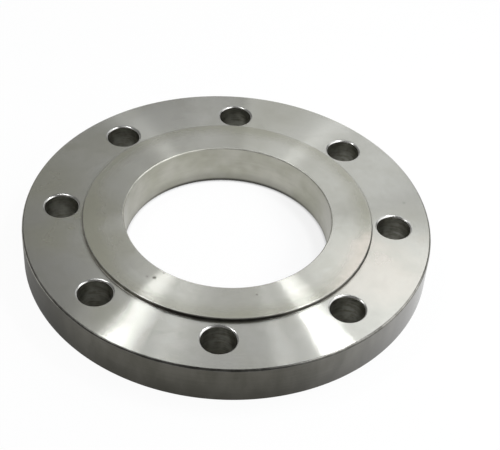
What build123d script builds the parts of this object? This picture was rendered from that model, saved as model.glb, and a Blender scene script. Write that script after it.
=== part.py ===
from build123d import *
import os

# Raised face plate flange for a welded pipe, turned from one steel blank and drilled, in millimetres.
# It lies on its back on the XY plane. The pipe's axis is Z and the sealing face looks up.

# Plate
rim_diameter = 220.0
plate_thickness = 22.0  # from the back to the bolting face

# Bolting
bolt_count = 8
bolt_hole_diameter = 18.0
rim_land = 11.0  # steel between a bolt hole and the rim

# Raised sealing face
face_height = 2.0  # above the bolting face
face_land = 3.0  # flat between a bolt hole and the foot of the raised face

# Bore for the pipe
bore_diameter = 112.0

# Edges, each cut at 45 degrees unless it is a radius
rim_front_chamfer = 1.0
rim_back_chamfer = 0.5
face_edge_chamfer = 0.3
face_root_radius = 0.4  # left by the turning tool's nose at the foot of the raised face
bore_chamfer = 0.5
bolt_hole_chamfer = 1.0

# Material
steel_density = 7.93e-6  # kg per cubic millimetre, stainless

# Places that follow from the sizes above. Inwards from the rim come its land, the holes, their land
# and the raised face.
rim_radius = rim_diameter / 2
bolt_hole_radius = bolt_hole_diameter / 2
bolt_circle_radius = rim_radius - rim_land - bolt_hole_radius
face_radius = bolt_circle_radius - bolt_hole_radius - face_land
bore_radius = bore_diameter / 2
sealing_level = plate_thickness + face_height


def turned_blank():
    """The half section from the bore out to the rim, turned once round the pipe's axis."""
    with BuildPart() as blank:
        with BuildSketch(Plane.XZ):
            with BuildLine():
                under = Polyline(
                    (bore_radius, bore_chamfer),
                    (bore_radius + bore_chamfer, 0),
                    (rim_radius - rim_back_chamfer, 0),
                    (rim_radius, rim_back_chamfer),
                    (rim_radius, plate_thickness - rim_front_chamfer),
                    (rim_radius - rim_front_chamfer, plate_thickness),
                    (face_radius + face_root_radius, plate_thickness),
                )
                # A quarter circle turns the bolting face up into the wall of the raised face.
                root = RadiusArc(
                    under @ 1,
                    (face_radius, plate_thickness + face_root_radius),
                    face_root_radius,
                )
                Polyline(
                    root @ 1,
                    (face_radius, sealing_level - face_edge_chamfer),
                    (face_radius - face_edge_chamfer, sealing_level),
                    (bore_radius + bore_chamfer, sealing_level),
                    (bore_radius, sealing_level - bore_chamfer),
                    under @ 0,
                )
            make_face()
        revolve(axis=Axis.Z)
    return blank.part


def bolt_hole_cutter():
    """What a drill and two countersinks take away: it runs on past both faces of the flange."""
    sink_radius = bolt_hole_radius + 2 * bolt_hole_chamfer  # of each cone, one chamfer outside its face
    front_sink_start = plate_thickness - bolt_hole_chamfer
    front_sink_end = plate_thickness + bolt_hole_chamfer
    drill_end = sealing_level + bolt_hole_chamfer
    with BuildPart() as cutter:
        with BuildSketch(Plane.XZ):
            with BuildLine():
                Polyline(
                    (0, -bolt_hole_chamfer),
                    (sink_radius, -bolt_hole_chamfer),
                    (bolt_hole_radius, bolt_hole_chamfer),
                    (bolt_hole_radius, front_sink_start),
                    (sink_radius, front_sink_end),
                    (bolt_hole_radius, front_sink_end),
                    (bolt_hole_radius, drill_end),
                    (0, drill_end),
                    close=True,
                )
            make_face()
        revolve(axis=Axis.Z)
    return cutter.part


def flange():
    """The turned blank with its ring of bolt holes, the first one on the X axis."""
    with BuildPart() as drilled:
        add(turned_blank())
        with PolarLocations(bolt_circle_radius, bolt_count):
            add(bolt_hole_cutter(), mode=Mode.SUBTRACT)
    return drilled.part


def main():
    os.makedirs("parts", exist_ok=True)
    solid = flange()
    export_step(solid, "parts/flange.step")
    print("flange:", round(solid.volume), "mm3 of steel,", round(solid.volume * steel_density, 2), "kg")


main()
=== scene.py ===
import math

import bpy
import numpy as np
from mathutils import Matrix, Vector


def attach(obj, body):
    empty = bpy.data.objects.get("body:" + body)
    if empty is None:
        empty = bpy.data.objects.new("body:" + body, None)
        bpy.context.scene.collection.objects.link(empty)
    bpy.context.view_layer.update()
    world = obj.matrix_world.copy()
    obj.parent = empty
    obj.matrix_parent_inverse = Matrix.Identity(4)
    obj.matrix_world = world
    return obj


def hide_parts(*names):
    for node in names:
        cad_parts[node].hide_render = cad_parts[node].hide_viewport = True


# A turned and drilled steel flange, lying on its back on a white table.

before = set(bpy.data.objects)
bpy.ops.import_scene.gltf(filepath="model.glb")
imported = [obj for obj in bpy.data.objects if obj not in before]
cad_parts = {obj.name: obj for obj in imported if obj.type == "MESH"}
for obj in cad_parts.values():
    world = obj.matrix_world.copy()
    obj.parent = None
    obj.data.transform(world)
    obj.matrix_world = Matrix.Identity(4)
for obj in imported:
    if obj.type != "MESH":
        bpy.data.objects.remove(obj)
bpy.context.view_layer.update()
print("flange frame loaded")

sceneNow = bpy.context.scene


# Camera: where it stands, what it looks at, and how far it is rolled
cameraSetup = {
    "position": (0.005838, -0.499199, 0.467857),
    "aim": (0.012338, 0.005212, 0.012),
    "roll": 4.2205,  # degrees
    "lens": 89.127,  # on a sensor 36 mm wide
}


def addCamera(setup):
    data = bpy.data.cameras.new("camera")
    data.sensor_fit = "HORIZONTAL"
    data.sensor_width = 36.0
    data.lens = setup["lens"]
    data.clip_start, data.clip_end = 0.01, 50.0
    camera = bpy.data.objects.new("camera", data)
    sceneNow.collection.objects.link(camera)
    place = Vector(setup["position"])
    look = (Vector(setup["aim"]) - place).to_track_quat("-Z", "Y").to_matrix()
    turned = look @ Matrix.Rotation(math.radians(setup["roll"]), 3, "Z")
    camera.matrix_world = Matrix.Translation(place) @ turned.to_4x4()
    sceneNow.camera = camera


addCamera(cameraSetup)
sceneNow.view_settings.view_transform = "Standard"
print("camera placed")


# Shader maths: a socket that can be written as a number in an expression
class Value:
    def __init__(self, tree, socket):
        self.tree, self.socket = tree, socket

    def maths(self, operation, *terms):
        node = self.tree.nodes.new("ShaderNodeMath")
        node.operation = operation
        for slot, term in zip(node.inputs, terms):
            if isinstance(term, Value):
                self.tree.links.new(term.socket, slot)
            else:
                slot.default_value = term
        return Value(self.tree, node.outputs[0])

    def __add__(self, other): return self.maths("ADD", self, other)
    def __radd__(self, other): return self.maths("ADD", other, self)
    def __sub__(self, other): return self.maths("SUBTRACT", self, other)
    def __rsub__(self, other): return self.maths("SUBTRACT", other, self)
    def __mul__(self, other): return self.maths("MULTIPLY", self, other)
    def __rmul__(self, other): return self.maths("MULTIPLY", other, self)
    def __truediv__(self, other): return self.maths("DIVIDE", self, other)
    def __rtruediv__(self, other): return self.maths("DIVIDE", other, self)
    def __pow__(self, other): return self.maths("POWER", self, other)

    def least(self, other): return self.maths("MINIMUM", self, other)
    def most(self, other): return self.maths("MAXIMUM", self, other)
    def root(self): return self.maths("SQRT", self)
    def size(self): return self.maths("ABSOLUTE", self)

    def ramp(self, start, end):  # 0 at start, 1 at end, smooth between, also when end is the smaller
        share = ((self - start) / (end - start)).most(0.0).least(1.0)
        return share * share * (3.0 - 2.0 * share)


class Finish:  # one material and the nodes that are put in it
    def __init__(self, name):
        self.material = bpy.data.materials.new(name)
        self.material.use_nodes = True
        self.tree = self.material.node_tree
        self.tree.nodes.clear()

    def node(self, kind, settings=None, **sockets):
        node = self.tree.nodes.new("ShaderNode" + kind)
        for key, value in (settings or {}).items():
            setattr(node, key, value)
        for key, value in sockets.items():  # a socket's name with _ for a space, or at and its number
            name = key.replace("_", " ")
            if name[:2] == "at" and name[2:].isdigit():
                self.feed(node.inputs[int(name[2:])], value)
            else:
                self.feed(next(s for s in node.inputs if s.name == name and s.enabled), value)
        return node

    def feed(self, slot, value):
        if isinstance(value, Value):
            self.tree.links.new(value.socket, slot)
        else:
            slot.default_value = value

    def out(self, node, name=0):
        return Value(self.tree, node.outputs[name])

    def blend(self, share, first, second):  # colour first where share is 0, second where it is 1
        return self.out(self.node("Mix", {"data_type": "RGBA"}, at0=share, at6=first, at7=second), 2)

    def tone(self, colour, amount):  # a colour made darker or lighter by a number
        return self.out(self.node("VectorMath", {"operation": "SCALE"}, at0=colour, at3=amount))

    def place(self):  # where a point of the piece is, in millimetres, and how far from the pipe's axis
        corner = self.node("TexCoord")
        parts = self.node("SeparateXYZ", None, at0=self.out(corner, "Object"))
        x, y, z = [self.out(parts, k) * 1000.0 for k in range(3)]
        return x, y, z, (x * x + y * y).root()

    def noise(self, x, y, z, detail=2.0, rough=0.5):  # about 0.5, a unit of x, y and z is one grain
        spot = self.out(self.node("CombineXYZ", None, at0=x, at1=y, at2=z))
        cloud = self.node("TexNoise", None, Vector=spot, Scale=1.0, Detail=detail, Roughness=rough)
        return self.out(cloud)

    def mixed(self, share, first, second):  # shader first where share is 0, second where it is 1
        return self.out(self.node("MixShader", None, at0=share, at1=first, at2=second))

    def surface(self, value):
        self.node("OutputMaterial", None, Surface=value)
        return self.material


# Flange: sizes in millimetres, as they are in the solid
flange = {
    "rimRadius": 110.0,
    "thickness": 22.0,
    "faceRadius": 78.0,
    "sealingLevel": 24.0,
    "boreRadius": 56.0,
    "boltCircle": 90.0,
    "holeRadius": 9.0,
    "holeCount": 8,
    "rimChamfer": 1.0,
    "backChamfer": 0.5,
    "faceChamfer": 0.3,
    "rootRadius": 0.4,
    "boreChamfer": 0.5,
    "holeChamfer": 1.0,
    "arcSteps": 64,  # along the arc of one sector, which holds one bolt hole
    "sideSteps": 12,  # along the straight sides of a sector
}


kindOf = {"turned": 0, "rim": 1, "drilled": 2, "bored": 3, "edge": 4, "root": 5, "sunk": 6, "rimEdge": 7,
          "boreEdge": 8}


def rounded(corners, radii, steps=3):
    # A path with its corners rounded: each corner P becomes the curve A(1-t)^2 + 2P t(1-t) + B t^2,
    # from A, a little before P on the way in, to B, as far after P on the way out.
    corners = np.asarray(corners, float)
    before, after = np.roll(corners, 1, 0), np.roll(corners, -1, 0)
    wayIn = (corners - before) / np.linalg.norm(corners - before, axis=1)[:, None]
    wayOut = (after - corners) / np.linalg.norm(after - corners, axis=1)[:, None]
    reach = np.asarray(radii, float)[:, None]
    start, end = corners - wayIn * reach, corners + wayOut * reach
    t = np.linspace(0, 1, steps + 1)[None, :, None]
    curve = start[:, None] * (1 - t) ** 2 + 2 * corners[:, None] * t * (1 - t) + end[:, None] * t**2
    curve[0, :], curve[-1, :] = corners[0], corners[-1]
    path = curve.reshape(-1, 2)
    moved = np.linalg.norm(np.diff(path, axis=0), axis=1)
    return path[np.concatenate([[True], moved > 1e-4])]


def rowKinds(path, plain, edge):
    # The finish of each row of faces: edge where the path slopes by 15 to 75 degrees, else plain.
    run, rise = np.abs(np.diff(path, axis=0)).T
    slope = np.degrees(np.arctan2(rise, run))
    return np.where((slope > 15) & (slope < 75), edge, plain)


def turnedSheet(path, turns):
    # A profile (r, z) turned about the axis: the point (r cos a, r sin a, z) for every angle a.
    angle = np.arange(turns + 1) * 2 * np.pi / turns
    r, z = path[:, 0][:, None], path[:, 1][:, None]
    return np.stack([r * np.cos(angle), r * np.sin(angle), z + 0 * angle], -1)


def holedSector(inner, outer, level, rim, size):
    # The flat ring between two radii in one sector, round its hole: each point of the sector's edge is
    # joined by a straight line to the point of the hole's mouth in the same direction from its centre.
    half = np.pi / size["holeCount"]
    arc = np.linspace(-half, half, size["arcSteps"] + 1)
    side = np.linspace(inner, outer, size["sideSteps"] + 1)
    edge = np.concatenate([
        np.stack([inner * np.cos(-arc), inner * np.sin(-arc)], -1),
        np.stack([side * np.cos(half), -side * np.sin(half)], -1)[1:],
        np.stack([outer * np.cos(arc), outer * np.sin(arc)], -1)[1:],
        np.stack([side * np.cos(half), side * np.sin(half)], -1)[::-1][1:],
    ])
    centre = np.array([size["boltCircle"], 0.0])
    away = edge - centre
    mouth = centre + rim * away / np.linalg.norm(away, axis=1)[:, None]
    share = np.linspace(0, 1, 5)[:, None, None] ** 1.5
    flat = mouth * (1 - share) + edge * share
    return np.concatenate([flat, np.full(flat.shape[:2] + (1,), level)], -1), mouth - centre


def holeSheet(direction, path, size):
    # A profile (r, z) carried round the hole, in the directions where the mouth has its points.
    unit = direction / np.linalg.norm(direction, axis=1)[:, None]
    r, z = path[:, 0][:, None, None], path[:, 1][:, None]
    flat = np.array([size["boltCircle"], 0.0]) + r * unit
    return np.concatenate([flat, np.broadcast_to(z, flat.shape[:2])[..., None]], -1)


def gridFaces(grid, first):
    # Four corners for every cell of a grid whose points are numbered row by row from first.
    rows, columns = grid.shape[:2]
    number = first + np.arange(rows * columns).reshape(rows, columns)
    return np.stack([number[:-1, :-1], number[1:, :-1], number[1:, 1:], number[:-1, 1:]], -1).reshape(-1, 4)


def buildFlange(size):
    turns = size["arcSteps"] * size["holeCount"]
    bore, rimR, face = size["boreRadius"], size["rimRadius"], size["faceRadius"]
    top, plate = size["sealingLevel"], size["thickness"]
    boreEdge, rimEdge = size["boreChamfer"], size["rimChamfer"]
    backEdge, faceEdge, root = size["backChamfer"], size["faceChamfer"], size["rootRadius"]
    holeEdge, holeR = size["holeChamfer"], size["holeRadius"]

    innerEnd, outerEnd, backEnd = face + root, rimR - rimEdge, rimR - backEdge
    rootAngle = np.linspace(0, np.pi / 2, 7)
    rootArc = np.stack([face + root - root * np.sin(rootAngle), plate + root - root * np.cos(rootAngle)], -1)
    boreUp = rounded(
        [(bore + boreEdge, 0.0), (bore, boreEdge), (bore, top - boreEdge), (bore + boreEdge, top),
         (face - faceEdge, top), (face, top - faceEdge), (face, plate + root)],
        [0, 0.12, 0.2, 0.2, 0.12, 0.12, 0])
    raised = np.concatenate([boreUp, rootArc[::-1][1:]])
    rim = rounded(
        [(outerEnd, plate), (rimR, plate - rimEdge), (rimR, backEdge), (backEnd, 0.0)],
        [0, 0.4, 0.12, 0])
    hole = rounded(
        [(holeR + holeEdge, plate), (holeR, plate - holeEdge), (holeR, holeEdge), (holeR + holeEdge, 0.0)],
        [0, 0.25, 0.25, 0])

    front, mouth = holedSector(innerEnd, outerEnd, plate, holeR + holeEdge, size)
    back, mouthBack = holedSector(bore + boreEdge, backEnd, 0.0, holeR + holeEdge, size)
    tube = holeSheet(mouth, hole, size)
    middle = (raised[1:] + raised[:-1]) / 2
    kinds = rowKinds(raised, kindOf["turned"], kindOf["edge"])
    kinds[(middle[:, 0] < bore + 0.02) & (kinds != kindOf["edge"])] = kindOf["bored"]
    kinds[(middle[:, 0] < face - 1.0) & (kinds == kindOf["edge"])] = kindOf["boreEdge"]
    # The step's wall and the bore's bottom chamfer take the near-black root finish: painted shade in the step's
    # corner and where the bore meets the table
    kinds[(middle[:, 0] > face - 0.02) & (middle[:, 1] < top - faceEdge)] = kindOf["root"]
    kinds[middle[:, 1] < boreEdge] = kindOf["root"]
    sheets = [(turnedSheet(raised, turns), kinds)]
    sheets += [(turnedSheet(rim, turns), rowKinds(rim, kindOf["rim"], kindOf["rimEdge"]))]
    holeKinds = rowKinds(hole, kindOf["drilled"], kindOf["sunk"])[::-1]
    flatKinds = np.full(len(front) - 1, kindOf["turned"])
    for k in range(size["holeCount"]):
        a = 2 * np.pi * k / size["holeCount"]
        spin = np.array([[np.cos(a), np.sin(a), 0], [-np.sin(a), np.cos(a), 0], [0, 0, 1]])
        sheets += [(front @ spin, flatKinds), (back[::-1] @ spin, flatKinds), (tube[::-1] @ spin, holeKinds)]
    return sheets


def smoothNormals(points, faces):
    # Each point's normal is the mean of the normals of the faces round it, by the square of their area, and
    # level faces count far more, so that they stay flat and only the narrow edge rounds turn the light.
    a, b, c, d = [points[faces[:, k]] for k in range(4)]
    cross = np.cross(c - a, d - b)
    area = np.linalg.norm(cross, axis=1)[:, None]
    weighted = cross * area * np.where(np.abs(cross[:, 2:]) > 0.9999 * area, 1e4, 1.0)
    total = np.zeros_like(points)
    for k in range(4):
        np.add.at(total, faces[:, k], weighted)
    return total / np.linalg.norm(total, axis=1)[:, None]


def meshFromSheets(name, sheets, materials):
    # All sheets in one mesh, in metres. Points closer than a micron become one.
    starts = np.concatenate([[0], np.cumsum([grid.shape[0] * grid.shape[1] for grid, _ in sheets])])
    points = np.concatenate([grid.reshape(-1, 3) for grid, _ in sheets])
    faces = np.concatenate([gridFaces(grid, start) for (grid, _), start in zip(sheets, starts)])
    kinds = np.concatenate([np.repeat(rows, grid.shape[1] - 1) for grid, rows in sheets])
    _, first, same = np.unique(np.round(points, 3), axis=0, return_index=True, return_inverse=True)
    points, faces = points[first] / 1000, same.reshape(-1)[faces]
    mesh = bpy.data.meshes.new(name)
    mesh.from_pydata(points.tolist(), [], faces.tolist())
    for material in materials:
        mesh.materials.append(material)
    mesh.polygons.foreach_set("material_index", kinds.astype(np.int32))
    mesh.shade_smooth()
    mesh.normals_split_custom_set_from_vertices(smoothNormals(points, faces).tolist())
    return mesh


# Finishes. Turned steel carries grooves round the pipe's axis, too fine to see one by one: they spread the
# light far across themselves and hardly along themselves, so a lamp shows as a wedge from bore to rim.
turnedLook = {
    "inner": (0.57, 0.567, 0.497, 1.0),  # on the sealing face
    "outer": (0.565, 0.567, 0.52, 1.0),  # on the bolting face
    "bright": (0.600, 0.596, 0.548, 1.0),  # in the crisp part of the shine
    "rosy": (0.62, 0.575, 0.50, 1.0),
    "film": (0.27, 0.265, 0.19, 1.0),  # thin olive film left by coolant and hands, also used for the painted shade along the sealing face's outer edge
    "warmFilm": (0.69, 0.61, 0.53, 1.0),  # the same where it is thinner and warmer
    "innerFilm": 0.06,  # how much of it lies all over the sealing face
    "brimShade": 0.36,  # and how much more along that face's outer edge, as painted shade
    "rosyFilm": 0.12,
    "stain": (0.13, 0.12, 0.10, 1.0),
    "wide": 0.2,  # roughness of the soft part of the shine
    "fine": 0.1517,  # and of the crisp part
    "pull": 0.8174,  # how far the grooves stretch the crisp part
    "crisp": 0.8,  # share of the crisp part
    "grooves": 0.00002,  # depth of the tool marks that can be seen, in metres
}
# Pits and specks of dirt: distance from the pipe's axis and direction from it, width in millimetres, depth
specks = [
    (63.1, 236.5, 1.5, 0.95), (57.6, 238.1, 1.3, 0.85), (71.6, 228.0, 1.0, 0.6), (71.9, 250.4, 1.1, 0.75),
    (62.6, 286.3, 1.3, 0.9), (98.8, 12.0, 1.3, 0.75), (64.8, 233.4, 0.9, 0.6),
]
# Clouds of film: where they lie, in millimetres, how far they reach and how thick they are
films = [
    (-70.0, -2.0, 20.0, 0.35), (-60.0, -30.0, 22.0, 0.35), (-92.0, -25.0, 22.0, 0.4), (-55.0, -78.0, 20.0, 0.3),
    (-75.0, 55.0, 24.0, 0.3), (10.0, 72.0, 22.0, 0.2), (82.0, -20.0, 20.0, 0.12), (98.0, 8.0, 18.0, 0.12),
    (-102.0, 20.0, 36.0, 0.4), (25.0, 97.0, 32.0, 0.3),
]
rosyPatch = (84.0, -38.0, 36.0)  # a warmer patch on the right: its middle and its reach


def turnedFinish(name, look):
    finish = Finish(name)
    x, y, z, r = finish.place()
    turn = 9.0 / r  # a unit of noise along the grooves is a ninth of the distance from the axis
    clouds = finish.noise(x / 20.0, y / 20.0, z / 20.0, 3.0, 0.6)
    smears = finish.noise(x / 7.0 + 7.0, y / 7.0, z / 7.0, 4.0, 0.6)
    rings = finish.noise(x * turn / 2.2, y * turn / 2.2, r / 0.8, 3.0, 0.6)

    def near(px, py):  # how far a point is from a place on the flange
        return ((x - px) ** 2.0 + (y - py) ** 2.0).root()

    hue = finish.blend(r.ramp(76.0, 80.0), look["inner"], look["outer"])
    rosy = (near(*rosyPatch[:2]) + (clouds - 0.5) * 60.0).ramp(rosyPatch[2], 8.0)
    hue = finish.blend(rosy, hue, look["rosy"])
    # Film all over the sealing face, and a band of painted shade along its outer edge
    filmAndBrimShade = r.ramp(80.0, 76.0) * (look["innerFilm"] + look["brimShade"] * r.ramp(66.0, 76.5))
    spots, film = 0.0, (clouds - 0.42).most(0.0) * 0.6 + filmAndBrimShade + rosy * look["rosyFilm"]
    for distance, direction, width, depth in specks:
        a = math.radians(direction)
        away = near(distance * math.cos(a), distance * math.sin(a)) + (smears - 0.5) * 1.8
        spots = away.ramp(0.75 * width, 0.25 * width) * depth + spots
    for px, py, reach, depth in films:
        film = (near(px, py) + (clouds - 0.5) * 40.0).ramp(reach, reach * 0.1) * depth + film
    spots = spots.least(1.0)
    film = (film * (0.7 + smears * 0.6)).least(0.6)

    bump = finish.node("Bump", None, Strength=1.0, Distance=look["grooves"], Height=rings)
    normal = finish.out(bump)
    tone = 1.0 + (smears - 0.5) * 0.35 + (rings - 0.5) * 0.3
    soft = finish.node(
        "BsdfPrincipled", None, Base_Color=finish.blend(spots, finish.tone(hue, tone), look["stain"]),
        Metallic=1.0, Roughness=look["wide"], Anisotropic=1.0, Anisotropic_Rotation=0.25, Normal=normal)
    crisp = finish.node(
        "BsdfAnisotropic", {"distribution": "GGX"}, Color=look["bright"], Roughness=look["fine"],
        Anisotropy=look["pull"], Normal=normal)
    dull = finish.node(
        "BsdfPrincipled", None, Base_Color=finish.blend(rosy, look["film"], look["warmFilm"]),
        Metallic=0.7, Roughness=0.42, Normal=normal)
    share = (look["crisp"] + (rings - 0.5) * 0.3).least(1.0) * (1.0 - spots)
    steel = finish.mixed(share, finish.out(soft), finish.out(crisp))
    return finish.surface(finish.mixed(film, steel, finish.out(dull)))


# The rim is darker and duller: oil and handling have browned it in patches, and its dark colour is partly painted
# shade for the dark surroundings it reflects; it is painted darker still towards the table and at its left
rimLook = {
    "clean": (0.118, 0.114, 0.098, 1.0),
    "browned": (0.094, 0.091, 0.076, 1.0),
    "roughness": 0.45,
    "pull": 0.9,
    "oil": 0.2,  # roughness of the oil that lies on its right side
}


def rimFinish(name, look):
    finish = Finish(name)
    x, y, z, r = finish.place()
    smudges = finish.noise(x / 7.0, y / 7.0, z / 16.0, 3.0, 0.5)
    clouds = finish.noise(x / 26.0, y / 26.0, z / 26.0, 2.0)
    rings = finish.noise(x / 40.0, y / 40.0, z / 0.9, 3.0, 0.6)
    worn = (smudges * 0.5 + clouds * 0.5).ramp(0.36, 0.64)
    colour = finish.blend(worn, look["browned"], look["clean"])
    # Painted shade: the colour falls off towards the table, and on the next line towards the rim's left side
    tone = (0.62 + 0.55 * z.ramp(-4.0, 22.0)) * (1.0 + (smudges - 0.5) * 0.35 + (rings - 0.5) * 0.25)
    tone = tone * (1.0 - 0.3 * x.ramp(-62.0, -88.0))
    bump = finish.node("Bump", None, Strength=1.0, Distance=0.000004, Height=rings)
    shader = finish.node(
        "BsdfPrincipled", None, Base_Color=finish.tone(colour, tone), Metallic=1.0,
        Roughness=(look["roughness"] + (smudges - 0.5) * 0.1), Anisotropic=look["pull"],
        Anisotropic_Rotation=0.25, Normal=finish.out(bump),
        Coat_Weight=x.ramp(15.0, 92.0), Coat_Roughness=look["oil"])
    return finish.surface(finish.out(shader))


# The bore is turned too, with a coarser tool, and stained in patches
boreLook = {
    "clean": (0.42, 0.414, 0.365, 1.0),
    "stained": (0.35, 0.348, 0.290, 1.0),
    "roughness": 0.3,
    "pull": 0.9,
}


def boreFinish(name, look):
    finish = Finish(name)
    x, y, z, r = finish.place()
    clouds = finish.noise(x / 16.0, y / 16.0, z / 16.0, 2.0)
    smears = finish.noise(x / 6.0, y / 6.0, z / 4.0, 3.0)
    rings = finish.noise(x / 30.0, y / 30.0, z / 0.8, 3.0, 0.6)
    colour = finish.blend(clouds.ramp(0.30, 0.70), look["stained"], look["clean"])
    footShade = 0.28 * z.ramp(9.0, 2.0) + 0.58 * z.ramp(2.8, 1.0)  # painted shade in the corner above the table, most at the back
    foot = footShade * (0.4 + 0.6 * y.ramp(22.0, 52.0))
    tone = (1.0 + (smears - 0.5) * 0.25 + (rings - 0.5) * 0.15) * (1.0 - foot)
    bump = finish.node("Bump", None, Strength=1.0, Distance=0.000004, Height=rings)
    shader = finish.node(
        "BsdfPrincipled", None, Base_Color=finish.tone(colour, tone), Metallic=1.0,
        Roughness=look["roughness"], Anisotropic=look["pull"], Anisotropic_Rotation=0.25,
        Normal=finish.out(bump))
    return finish.surface(finish.out(shader))


# Drilled walls are dark and ribbed by the drill, and the cut edges are bright but narrow
plainLooks = {
    "drilled": {"light": (0.36, 0.355, 0.31, 1.0), "dark": (0.19, 0.185, 0.155, 1.0), "roughness": 0.4,
                "rib": 1.3, "depth": 0.00002},
    "edge": {"light": (0.24, 0.235, 0.21, 1.0), "dark": (0.17, 0.165, 0.15, 1.0), "roughness": 0.3,
             "rib": 4.0, "depth": 0.000004},
    "boreEdge": {"light": (0.50, 0.495, 0.44, 1.0), "dark": (0.36, 0.355, 0.31, 1.0), "roughness": 0.45,
                 "rib": 4.0, "depth": 0.000004},
    "sunk": {"light": (0.52, 0.515, 0.49, 1.0), "dark": (0.38, 0.375, 0.35, 1.0), "roughness": 0.2,
             "rib": 4.0, "depth": 0.000004},
    # Near black: painted shade for the dark room that the rim's edges reflect along the front
    "rimEdge": {"light": (0.13, 0.127, 0.115, 1.0), "dark": (0.07, 0.068, 0.06, 1.0), "roughness": 0.2,
                "rib": 4.0, "depth": 0.000004},
    # Near black: painted shade in the step's corner and at the bore's foot
    "root": {"light": (0.06, 0.057, 0.05, 1.0), "dark": (0.03, 0.029, 0.025, 1.0), "roughness": 0.35,
             "rib": 4.0, "depth": 0.000004},
}


# Where two of them are painted lighter than elsewhere, a painted reflection of brighter surroundings: the step's
# wall at its left and right, and the rim's top edge at both ends
paintedLightAt = {
    "root": lambda x, y, z, r: 1.0 + (0.6 + 5.0 * x.ramp(0.0, -50.0)) * y.ramp(-76.0, -62.0) * z.ramp(15.0, 20.0),
    "rimEdge": lambda x, y, z, r: 1.0 + 1.4 * (x * x).ramp(4500.0, 9000.0),
}


def plainFinish(name, look, paintedLightAt):
    finish = Finish(name)
    x, y, z, r = finish.place()
    grain = finish.noise(x / 4.0, y / 4.0, z / 4.0, 3.0, 0.6)
    ribs = finish.noise(x / 9.0, y / 9.0, z / look["rib"], 3.0, 0.6)
    colour = finish.blend((grain * 0.5 + ribs * 0.5).ramp(0.36, 0.62), look["dark"], look["light"])
    if paintedLightAt:
        colour = finish.tone(colour, paintedLightAt(x, y, z, r))
    bump = finish.node("Bump", None, Strength=1.0, Distance=look["depth"], Height=ribs)
    shader = finish.node(
        "BsdfPrincipled", None, Base_Color=colour, Metallic=1.0, Roughness=look["roughness"],
        Normal=finish.out(bump))
    return finish.surface(finish.out(shader))


materials = {
    "turned": turnedFinish("turnedSteel", turnedLook),
    "rim": rimFinish("rimSteel", rimLook),
    "bored": boreFinish("boredSteel", boreLook),
}
for finishName, finishLook in plainLooks.items():
    materials[finishName] = plainFinish(finishName + "Steel", finishLook, paintedLightAt.get(finishName))
print("finishes made")

mesh = meshFromSheets("flangeTurned", buildFlange(flange), [materials[kind] for kind in kindOf])
piece = bpy.data.objects.new("flangeTurned", mesh)
sceneNow.collection.objects.link(piece)
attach(piece, "root")
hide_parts("flange")
print("flange built,", len(mesh.polygons), "faces")


# Table: a plain pale sheet that rises in a soft curve far behind the flange, all round
table = {
    "flat": 2.4,  # metres from the middle to where the curve starts
    "curve": 0.5,  # radius of the curve
    "rise": 0.15,  # height of the wall above the curve
    "colour": (0.95, 0.95, 0.95, 1.0),
    "shown": 0.95,  # how white it is to the eye and to the steel, before the lamps light the rest
    "shownInside": 0.8,  # the same in the bore, where more of the shadow stays
}


def addTable(setup):
    # A profile turned about the axis: flat out to R, then the quarter circle (R + c sin t, c - c cos t),
    # then straight up. The first row is one ring a millimetre wide, closed by one face.
    flat, curve = setup["flat"], setup["curve"]
    t = np.linspace(0, np.pi / 2, 17)
    path = np.concatenate([
        [(0.001, 0.0)], np.stack([flat + curve * np.sin(t), curve - curve * np.cos(t)], -1),
        [(flat + curve, curve + setup["rise"])]])
    grid = turnedSheet(path, 96)[:, :-1]
    rows, columns = grid.shape[:2]
    number = np.arange(rows * columns).reshape(rows, columns)
    following = np.roll(number, -1, 1)
    faces = np.stack([number[:-1], number[1:], following[1:], following[:-1]], -1).reshape(-1, 4).tolist()
    mesh = bpy.data.meshes.new("table")
    mesh.from_pydata(grid.reshape(-1, 3).tolist(), [], faces + [number[0].tolist()])
    mesh.shade_smooth()

    finish = Finish("tableTop")
    x, y, z, r = finish.place()
    rays = finish.node("LightPath")
    seen = finish.out(rays, "Is Camera Ray").most(finish.out(rays, "Is Glossy Ray"))
    seen = seen.most(finish.out(rays, "Is Transmission Ray"))
    inside = r.ramp(57.0, 54.0) * x.ramp(10.0, 40.0)
    shown = setup["shown"] - (setup["shown"] - setup["shownInside"]) * inside
    # The floor loses its white under the plate and in a thin ring inside the bore along the wall's foot, so only
    # the lamps light it there: in that ring a painted contact shadow, on top of the real one
    covered = r.ramp(54.0, 57.5) * r.ramp(109.5, 108.0)  # in the dark under the plate
    plain = finish.node("BsdfDiffuse", None, Color=setup["colour"])
    white = finish.node("Emission", None, Color=(1.0, 1.0, 1.0, 1.0), Strength=1.0)
    mesh.materials.append(finish.surface(
        finish.mixed(seen * shown * (1.0 - covered), finish.out(plain), finish.out(white))))
    top = bpy.data.objects.new("table", mesh)
    sceneNow.collection.objects.link(top)


addTable(table)
print("table laid")


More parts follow.
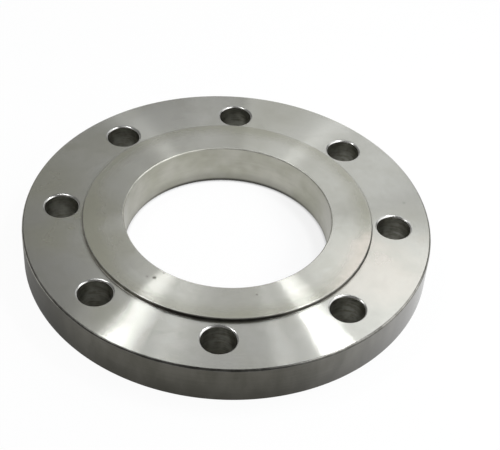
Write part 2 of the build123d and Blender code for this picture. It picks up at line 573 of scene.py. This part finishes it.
# Studio: every lamp is given by where it stands round the flange and above the table, and how far it is
# rolled, in degrees, by its width and height in metres, and by how bright its face is, where 1 is white
studio = {
    "window": {"around": -8.9, "above": 31.0, "roll": 0.0, "size": (0.640, 0.340), "bright": 1.70},
    "side": {"around": 2.8, "above": 52.0, "roll": 1.9, "size": (0.318, 0.216), "bright": 0.99},
    "highSide": {"around": -12.0, "above": 64.8, "roll": 4.8, "size": (0.241, 0.140), "bright": 1.93},
    "right": {"around": 20.6, "above": 64.0, "roll": 0.8, "size": (0.167, 0.060), "bright": 22.20},
    "highRight": {"around": 52.3, "above": 71.4, "roll": 4.1, "size": (0.043, 0.024), "bright": 5.83},
    "backRight": {"around": 54.9, "above": 45.5, "roll": 9.6, "size": (0.207, 0.137), "bright": 0.91},
    "backLow": {"around": 76.4, "above": 28.4, "roll": 4.4, "size": (0.195, 0.104), "bright": 0.52},
    "back": {"around": 78.2, "above": 46.6, "roll": 2.2, "size": (0.253, 0.278), "bright": 0.59},
    "backLeft": {"around": 101.6, "above": 47.3, "roll": 1.6, "size": (0.100, 0.095), "bright": 0.57},
    "strip": {"around": 132.3, "above": 64.2, "roll": -59.7, "size": (0.158, 0.028), "bright": 2.01},
    "highLeft": {"around": 143.1, "above": 73.1, "roll": -48.7, "size": (0.112, 0.031), "bright": 4.77},
    "left": {"around": 161.9, "above": 65.3, "roll": -14.7, "size": (0.252, 0.050), "bright": 12.30},
    "away": 0.5,  # metres from the middle of the flange
    "tint": (0.983, 1.0, 1.03),
    "room": (0.252, 0.252, 0.252, 1.0),
}


def addLamp(name, setup, away, tint):
    data = bpy.data.lights.new(name, "AREA")
    data.shape = "RECTANGLE"
    data.size, data.size_y = setup["size"]
    data.energy = math.pi * setup["bright"] * data.size * data.size_y
    data.color = tint
    lamp = bpy.data.objects.new(name, data)
    around, above = math.radians(setup["around"]), math.radians(setup["above"])
    towards = Vector((math.cos(above) * math.cos(around), math.cos(above) * math.sin(around), math.sin(above)))
    place = Vector((0, 0, 0.02)) + away * towards
    turn = (-towards).to_track_quat("-Z", "Y").to_matrix() @ Matrix.Rotation(math.radians(setup["roll"]), 3, "Z")
    lamp.matrix_world = Matrix.Translation(place) @ turn.to_4x4()
    lamp.visible_camera = False
    sceneNow.collection.objects.link(lamp)


for lampName, lampSetup in studio.items():
    if lampName not in ("away", "tint", "room"):
        addLamp(lampName, lampSetup, studio["away"], studio["tint"])

world = bpy.data.worlds.new("room")
sceneNow.world = world
world.use_nodes = True
world.node_tree.nodes["Background"].inputs["Color"].default_value = studio["room"]
print("lights placed")
